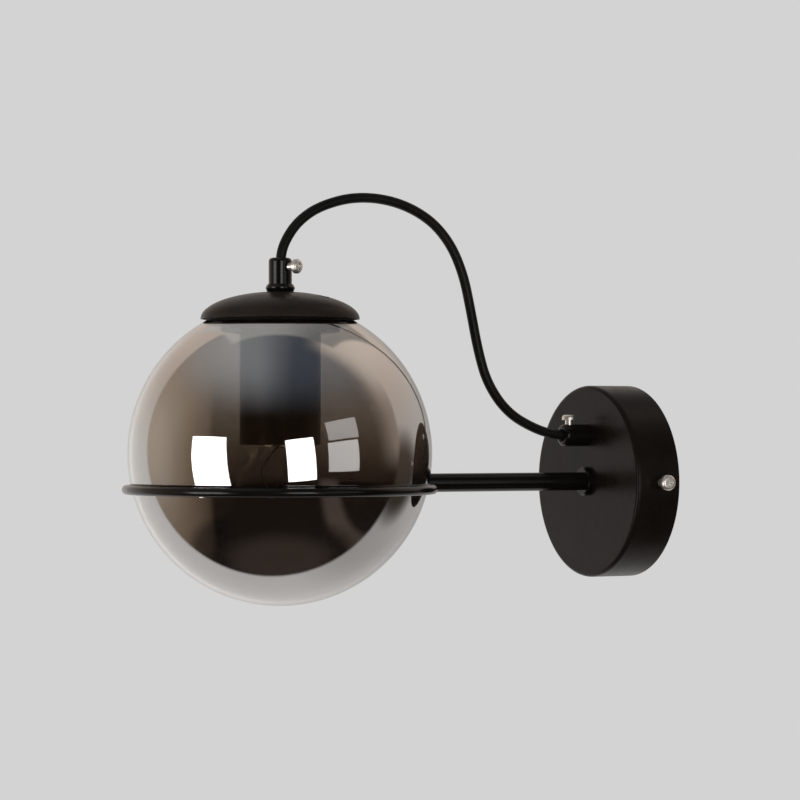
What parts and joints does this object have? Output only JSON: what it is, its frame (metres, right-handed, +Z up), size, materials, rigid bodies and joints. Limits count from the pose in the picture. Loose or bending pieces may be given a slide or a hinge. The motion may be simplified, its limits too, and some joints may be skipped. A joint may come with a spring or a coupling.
{
  "type": "globe wall sconce",
  "caption": "Wall lamp with a smoked glass globe resting in a steel ring on a short arm, a domed cap with the lampholder over its mouth, and a cord looping back to a round canopy.",
  "frame": {"origin": "centre of the canopy's back on the wall, midway between the bracket's two wall slots", "axes": "+Y into the wall, so the lamp stands out towards -Y; +X to the right as seen from the room; +Z up"},
  "size_m": [0.1554, 0.2797, 0.2056],
  "materials": {
    "black_enamel": "satin black powder coat on steel",
    "gloss_black_enamel": "glossy black enamel on steel and brass",
    "zinc_steel": "zinc-plated steel",
    "nickel_screws": "bright nickel-plated steel",
    "black_screws": "black-plated steel screws",
    "brass": "bare brass",
    "black_phenolic": "moulded black phenolic",
    "shell_metal": "thin bright metal",
    "smoked_mirror_glass": "smoked glass with a semi-mirror coat",
    "clear_glass": "clear bulb glass",
    "black_vitrite": "opaque black glass",
    "filament_wire": "bare tungsten and nickel wire",
    "black_rubber": "black rubber",
    "white_plastic": "off-white moulded polyamide",
    "black_pvc": "smooth black PVC sheath",
    "brown_pvc": "brown PVC core insulation",
    "blue_pvc": "blue PVC core insulation"
  },
  "bodies": {
    "wall_side": {"wall_bracket": "zinc_steel", "earth_washer": "brass", "earth_screw": "brass", "canopy": "black_enamel", "arm_boss": "gloss_black_enamel", "arm_tube": "gloss_black_enamel", "arm_end_cap": "gloss_black_enamel", "arm_lock_washer": "zinc_steel", "arm_lock_nut": "zinc_steel", "support_ring": "gloss_black_enamel", "canopy_cord_grip": "gloss_black_enamel", "canopy_grip_nut": "zinc_steel", "terminal_block": "white_plastic", "terminal_block_screw": "nickel_screws", "block_wire_screws": "nickel_screws", "supply_cord": "black_pvc", "canopy_cord_tail": "black_pvc", "canopy_live_lead": "brown_pvc", "canopy_neutral_lead": "blue_pvc"},
    "globe": {"globe_glass": "smoked_mirror_glass"},
    "lamp_head": {"mouth_gasket": "black_rubber", "locating_plate": "black_enamel", "coupling_sleeve": "zinc_steel", "cap_dome": "black_enamel", "cap_screws": "black_screws", "cap_collar": "gloss_black_enamel", "cap_cord_grip": "gloss_black_enamel", "cap_cord_tail": "black_pvc", "lamp_nipple": "zinc_steel", "lampholder_cup": "black_enamel", "cup_nut": "zinc_steel", "holder_cap": "black_phenolic", "holder_core": "black_phenolic", "holder_terminal_screws": "nickel_screws", "holder_skirt": "black_phenolic", "screw_shell": "shell_metal", "centre_contact": "brass", "lamp_live_lead": "brown_pvc", "lamp_neutral_lead": "blue_pvc"},
    "bulb": {"bulb_contact": "brass", "bulb_insulator": "black_vitrite", "bulb_cap": "shell_metal", "bulb_glass": "clear_glass", "bulb_stem": "clear_glass", "bulb_filament": "filament_wire", "bulb_lead_in_wires": "filament_wire"},
    "side_screw_right": {"canopy_side_screw_right": "nickel_screws"},
    "side_screw_left": {"canopy_side_screw_left": "nickel_screws"},
    "canopy_clamp_screw": {"canopy_grip_screw": "nickel_screws"},
    "cap_clamp_screw": {"cap_grip_screw": "nickel_screws"}
  },
  "joints": [
    {"name": "cap_lift", "type": "slide", "parent": "wall_side", "child": "lamp_head", "axis": [0, 0, 1], "range_m": [0, 0.11], "deforming": ["supply_cord"]},
    {"name": "globe_turn", "type": "hinge", "parent": "wall_side", "child": "globe", "pos_m": [0, -0.202, 0], "axis": [0, 0, 1], "continuous": true},
    {"name": "bulb_unscrew", "type": "slide", "parent": "lamp_head", "child": "bulb", "axis": [0, 0, -1], "range_m": [0, 0.024]},
    {"name": "side_screw_right_turn_out", "type": "slide", "parent": "wall_side", "child": "side_screw_right", "axis": [1, 0, 0], "range_m": [-0.0049, 0.0038]},
    {"name": "side_screw_left_turn_out", "type": "slide", "parent": "wall_side", "child": "side_screw_left", "axis": [-1, 0, 0], "range_m": [-0.0049, 0.0038]},
    {"name": "canopy_clamp_screw_turn_out", "type": "slide", "parent": "wall_side", "child": "canopy_clamp_screw", "axis": [0, 0, 1], "range_m": [0, 0.003]},
    {"name": "cap_clamp_screw_turn_out", "type": "slide", "parent": "lamp_head", "child": "cap_clamp_screw", "axis": [0.866, 0.5, 0], "range_m": [-0.0008, 0.0021]}
  ]
}
